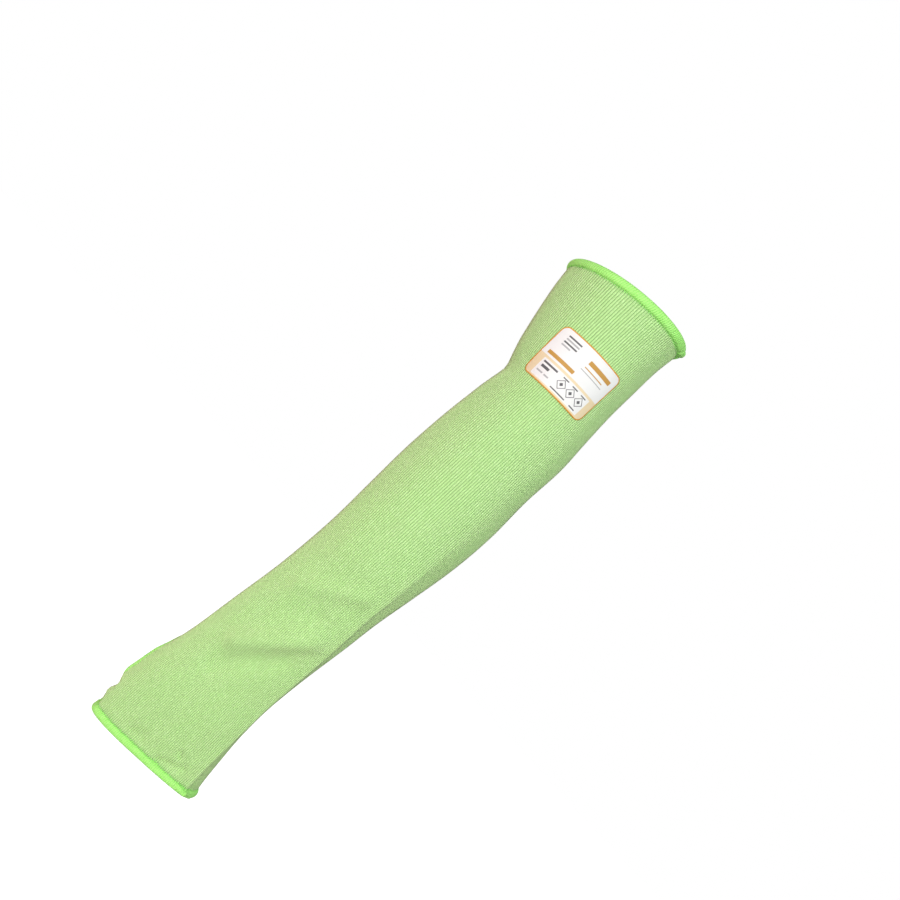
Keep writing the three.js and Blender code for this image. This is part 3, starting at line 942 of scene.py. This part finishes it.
# a section of an edge's hem round its middle line
def edgeRings(hem, middleAt, angles, height, thickness, lift=0.0, tilt=0.0):
    turn = np.arange(hemSides) / hemSides * 2 * math.pi
    rest = (hem["thickness"] - sleeve["wall"]) / 4 - sleeve["wall"] / 2
    column = lambda value: np.broadcast_to(np.asarray(value, float), angles.shape)[:, None]
    at = middleAt + (column(height) / 2 * np.sin(turn)[None, :] + column(tilt)) / sleeve["length"]
    out = rest + column(lift) + column(thickness) / 2 * np.cos(turn)[None, :]
    return clothPlace(at, np.broadcast_to(angles[:, None], at.shape), out)


hemLooks = {
    "ridge": 0.15 * mm,
    "slant": 2.0,
    "unevenness": 0.18 * mm,
    "stitchLength": 1.9 * mm,
    "stitchThickness": 0.5 * mm,
    "stitchSpacing": 1.75 * mm,
    "overlapLength": 17 * mm,
    "overlapLift": 1.9 * mm,
    "overlapHeight": 0.74,  # shares of the ring's own
    "overlapThickness": 0.72,
    "overlapColumns": 85,
    "overlapStitches": 14,
    "overlapSlant": -1.2,
    "swell": 0.08,  # how much thicker the ring is under the overlap
    "swellReach": 5 * mm,
    "thumbRidge": 0.18 * mm,
}


def wound(piece, ridge=hemLooks["ridge"], slant=hemLooks["slant"]):
    return grow(piece, windings, {
        "Ridge": ridge, "Slant": slant, "Unevenness": hemLooks["unevenness"], "Material": hemPaint})


# needle stitches at places on the cloth, each lying one way and standing another
def makeStitches(name, places, lie, out, seed, longer=1.0, thicker=1.0):
    mesh = bpy.data.meshes.new(name)
    mesh.from_pydata(places.tolist(), [], [])
    for title, vectors in (("lie", lie), ("out", out)):
        layer = mesh.attributes.new(title, "FLOAT_VECTOR", "POINT")
        layer.data.foreach_set("vector", np.asarray(vectors, np.float32).ravel())
    piece = bpy.data.objects.new(name, mesh)
    bpy.context.scene.collection.objects.link(piece)
    return grow(piece, needleStitches, {
        "Length": hemLooks["stitchLength"] * longer, "Thickness": hemLooks["stitchThickness"] * thicker,
        "Seed": seed, "Material": hemPaint})


# the rolled edge at the upper arm or at the hand: its ring, its overlap and its needle stitches
def makeEdgeHem(name, hem, atTop):
    half = hem["height"] / 2 / sleeve["length"]
    middle = half if atTop else 1 - half
    inward = 1 if atTop else -1
    columns = hem["stitches"] * columnsPerStitch
    angles, girth = angleRound(np.array([middle]), np.arange(columns) / columns)
    angles, girth = angles[0], girth[0]
    away = np.abs((np.arange(columns) / columns - hem["overlapShare"] + 0.5) % 1 - 0.5) * girth
    swell = 1 + hemLooks["swell"] * np.exp(-((away / hemLooks["swellReach"]) ** 2))
    rings = edgeRings(hem, middle, angles, hem["height"], hem["thickness"] * swell)
    ring = wound(hemMesh(name, rings, hem["stitches"]))

    reach = np.linspace(-1, 1, hemLooks["overlapColumns"])
    share = hem["overlapShare"] + reach * hemLooks["overlapLength"] / 2 / girth
    crossing, _ = angleRound(np.array([middle]), share % 1)
    taper = np.sqrt(np.clip(1 - reach ** 6, 0.0, 1)) * 0.999 + 0.001
    height = hem["height"] * hemLooks["overlapHeight"] * taper
    thickness = hem["thickness"] * hemLooks["overlapThickness"] * taper
    lift = hemLooks["overlapLift"] * (1 - 0.5 * reach ** 2)
    tilt = -inward * hem["overlapTilt"] * reach
    strip = edgeRings(hem, middle, crossing[0], height, thickness, lift, tilt)
    overlap = hemMesh(name + "_overlap", strip, hemLooks["overlapStitches"], closed=False)
    overlap = wound(overlap, slant=hemLooks["overlapSlant"])

    count = round(girth / hemLooks["stitchSpacing"])
    stitchAngles, _ = angleRound(np.array([middle]), (np.arange(count) + 0.5) / count)
    row = np.full(count, middle + inward * (half + 0.35 * mm / sleeve["length"]))
    spots = clothPlace(row, stitchAngles[0], 0.22 * mm)
    lower = clothPlace(row + inward * 0.002, stitchAngles[0] + 0.012, 0.1 * mm)
    outward = outwardAt(row, stitchAngles[0])
    stitches = makeStitches(name + "_stitches", spots, lower - spots, outward, seed=3)
    return ring, overlap, stitches


# the hem round the thumb hole, on a loop with even steps
def makeThumbHem():
    columns = thumbHole["stitches"] * columnsPerStitch
    fine = np.arange(1441) / 1440 * 2 * math.pi
    loop = thumbHolePlace(fine, 0, 1, 0)
    run = np.concatenate([[0], np.cumsum(np.linalg.norm(np.diff(loop, axis=0), axis=1))])
    turn = np.interp(np.arange(columns) / columns * run[-1], run, fine)
    section = np.arange(hemSides) / hemSides * 2 * math.pi
    widen = thumbHole["hemWidth"] / 2 * np.sin(section)[None, :]
    out = thumbHole["hemThickness"] / 2 * np.cos(section)[None, :] - sleeve["wall"] / 2
    rings = thumbHolePlace(turn[:, None], widen, 1, out)
    ring = wound(hemMesh("thumb_hem", rings, thumbHole["stitches"]), ridge=hemLooks["thumbRidge"])

    count = round(run[-1] / hemLooks["stitchSpacing"])
    place = np.interp((np.arange(count) + 0.5) / count * run[-1], run, fine)
    beyond = thumbHole["hemWidth"] / 2 + 0.3 * mm
    spots = thumbHolePlace(place, beyond, 1, 0.15 * mm)
    further = thumbHolePlace(place, beyond + 1.5 * mm, 1, 0.1 * mm)
    above = thumbHolePlace(place, beyond, 1, 1.0 * mm)
    stitches = makeStitches(
        "thumb_hem_stitches", spots, further - spots, above - spots, seed=5, longer=0.8, thicker=0.9)
    return ring, stitches


# the printed film: a thin patch with round corners that follows the cloth
def makeLabel():
    columns, rows = 116, 84
    across = np.linspace(-1, 1, columns + 1)
    down = np.linspace(-0.5, 0.5, rows + 1) * label["height"]
    fromEdge = label["height"] / 2 - np.abs(down)
    corner = label["cornerRadius"]
    inset = np.clip(corner - fromEdge, 0, None)
    halfWidth = label["width"] / 2 - corner + np.sqrt(corner ** 2 - inset ** 2)
    x = across[:, None] * halfWidth[None, :]
    y = np.broadcast_to(down[None, :], x.shape)
    turn = math.radians(label["turn"])
    placeX = x * math.cos(turn) - y * math.sin(turn)
    placeY = x * math.sin(turn) + y * math.cos(turn)
    at = (label["fromTop"] + placeY) / sleeve["length"]
    angle = angleAlong(at, frontAngle(at), placeX)
    _, girth = angleRound(at[0], np.zeros(1))
    rib = -np.cos(2 * math.pi * placeX / (girth / sleeve["wales"])[None, :]) * label["relief"]
    outside = clothPlace(at, angle, label["lift"] + label["thickness"] + rib)
    inside = clothPlace(at, angle, np.full(at.shape, label["lift"]))
    places = np.concatenate([outside.reshape(-1, 3), inside.reshape(-1, 3)])
    n = rows + 1
    back = (columns + 1) * n
    uv = np.stack([x, -y], -1).reshape(-1, 2) / mm
    faces = []
    for i in range(columns):
        for j in range(rows):
            face = [i * n + j, i * n + j + 1, (i + 1) * n + j + 1, (i + 1) * n + j]
            faces.append(face)
            faces.append([back + k for k in face[::-1]])
    edge = [i * n for i in range(columns + 1)] + [columns * n + j for j in range(1, n)]
    edge += [i * n + rows for i in range(columns - 1, -1, -1)] + list(range(rows - 1, 0, -1))
    for a, b in zip(edge, edge[1:] + edge[:1]):
        faces.append([a, b, back + b, back + a])
    corners = [uv[k % back] for face in faces for k in face]
    piece = makePiece("printed_label", places, faces, corners)
    piece.data.materials.append(labelPaint)
    return piece


sleevePiece = makeSleeve()
print("the knitted tube is made")
upperRing, upperOverlap, upperStitches = makeEdgeHem("upper_hem", upperHem, True)
handRing, handOverlap, handStitches = makeEdgeHem("hand_hem_roll", handHem, False)
thumbRing, thumbStitches = makeThumbHem()
print("the hems are made")
labelPiece = makeLabel()
print("the label is made")

trim = [upperRing, upperOverlap, upperStitches, handRing, handOverlap, handStitches, thumbRing, thumbStitches]
for piece in (sleevePiece, labelPiece, *trim):
    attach(piece, "root")
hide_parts("knit_sleeve")
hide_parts("upper_arm_hem")
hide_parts("hand_hem")
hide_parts("thumb_hole_hem")
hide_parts("label")

for piece in (sleevePiece, labelPiece, *trim):
    print(piece.name, sum(len(p.vertices) - 2 for p in piece.data.polygons), "triangles")
